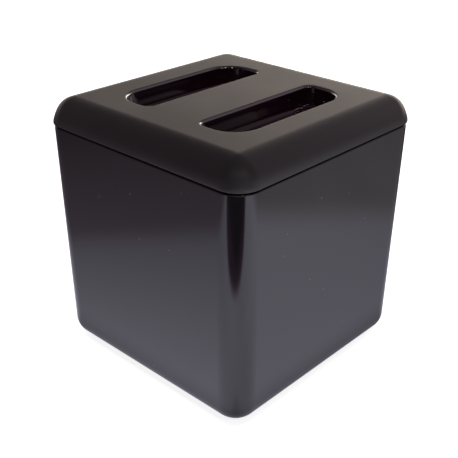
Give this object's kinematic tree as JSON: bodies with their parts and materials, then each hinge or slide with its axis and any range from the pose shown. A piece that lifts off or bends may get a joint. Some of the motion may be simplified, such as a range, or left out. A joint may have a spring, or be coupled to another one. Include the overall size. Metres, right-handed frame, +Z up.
{
  "type": "square ice bucket with lid",
  "caption": "Square double-walled counter-top ice bucket in glossy black plastic, with a soft-cornered satin lift-off lid whose two sunk finger wells leave a grip bar.",
  "frame": {"origin": "middle of the surface that the bucket stands on, under the centre of the lid", "axes": "+Z up; the two finger wells run along X, one at +Y and one at -Y of the grip bar, so -Y is the front"},
  "size_m": [0.165, 0.165, 0.1717],
  "materials": {
    "shell_gloss": "high-gloss moulded black",
    "lid_satin": "fine satin moulded black, with polished finger wells",
    "liner_plastic": "glossy moulded black",
    "foam": "closed-cell white insulating foam",
    "foot_rubber": "matt black rubber",
    "screw_steel": "zinc-plated steel"
  },
  "bodies": {
    "bucket": {"outer_shell": "shell_gloss", "inner_liner": "liner_plastic", "foam_jacket": "foam", "base_screws": "screw_steel", "foot_front_left": "foot_rubber", "foot_front_right": "foot_rubber", "foot_rear_left": "foot_rubber", "foot_rear_right": "foot_rubber"},
    "lid": {"lid_shell": "lid_satin", "lid_liner": "liner_plastic", "lid_foam": "foam"}
  },
  "joints": [
    {"name": "lid_lift", "type": "slide", "parent": "bucket", "child": "lid", "axis": [0, 0, 1], "range_m": [0, 0.12]}
  ]
}
